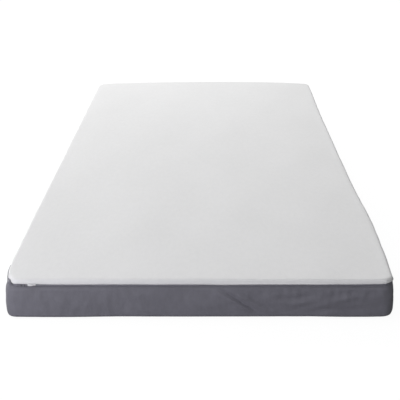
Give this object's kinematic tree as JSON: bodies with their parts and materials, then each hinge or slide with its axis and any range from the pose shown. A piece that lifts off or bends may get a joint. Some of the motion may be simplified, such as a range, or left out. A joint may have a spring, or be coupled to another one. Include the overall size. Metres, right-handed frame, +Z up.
{
  "type": "pressure relief mattress",
  "caption": "Flat layered-foam mattress in a zipped cover: pale stretch knit top, dark side border, zip right round under the turned-down rim.",
  "frame": {"origin": "centre of the mattress's underside, where it rests on a bed deck", "axes": "+X across the width, to the right seen from the foot end; +Y along the length, towards the head end; +Z up"},
  "size_m": [0.8998, 1.9999, 0.1],
  "materials": {
    "top_knit": "pale grey stretch knit, fine dull weave",
    "border_cloth": "dark blue-grey coated woven cloth",
    "base_cloth": "dark coated woven cloth with a dotted grip",
    "fleece": "white needled fleece",
    "zip_tape": "dark ribbed woven tape",
    "zip_coil": "dark nylon coil",
    "zip_stop": "dark enamelled crimp",
    "slider_metal": "white enamelled die casting",
    "firm_foam": "pale grey firm open-cell foam",
    "wall_foam": "blue extra-firm open-cell foam",
    "support_foam": "cream resilient open-cell foam",
    "comfort_foam": "pale yellow slow-recovery foam"
  },
  "bodies": {
    "cover_base": {"side_border": "border_cloth", "border_padding": "fleece", "base_panel": "base_cloth", "zip_tape_lower": "zip_tape", "zip_coil_lower": "zip_coil", "zip_stops_lower": "zip_stop"},
    "cover_top": {"top_panel": "top_knit", "zip_tape_upper": "zip_tape", "zip_coil_upper": "zip_coil", "zip_stops_upper": "zip_stop"},
    "zip_slider": {"zip_slider": "slider_metal"},
    "zip_pull": {"zip_pull_tab": "slider_metal"},
    "foam_core": {"base_foam": "firm_foam", "side_bolster_left": "wall_foam", "side_bolster_right": "wall_foam", "head_bolster": "wall_foam", "foot_bolster": "wall_foam", "support_foam": "support_foam", "comfort_foam_shoulder": "comfort_foam", "comfort_foam_seat": "comfort_foam", "comfort_foam_heel": "comfort_foam"}
  },
  "joints": [
    {"name": "foam_core_lift", "type": "slide", "parent": "cover_base", "child": "foam_core", "axis": [0, 0, 1], "range_m": [0, 0.15]},
    {"name": "cover_top_lift", "type": "slide", "parent": "foam_core", "child": "cover_top", "axis": [0, 0, 1], "range_m": [0, 0.3]},
    {"name": "zip_slide", "type": "slide", "parent": "cover_base", "child": "zip_slider", "axis": [1, 0, 0], "range_m": [0, 0.77]},
    {"name": "zip_pull_flip", "type": "hinge", "parent": "zip_slider", "child": "zip_pull", "pos_m": [-0.3771, -0.99876, 0.0793], "axis": [0, 0, 1], "range_deg": [0, 175]}
  ]
}
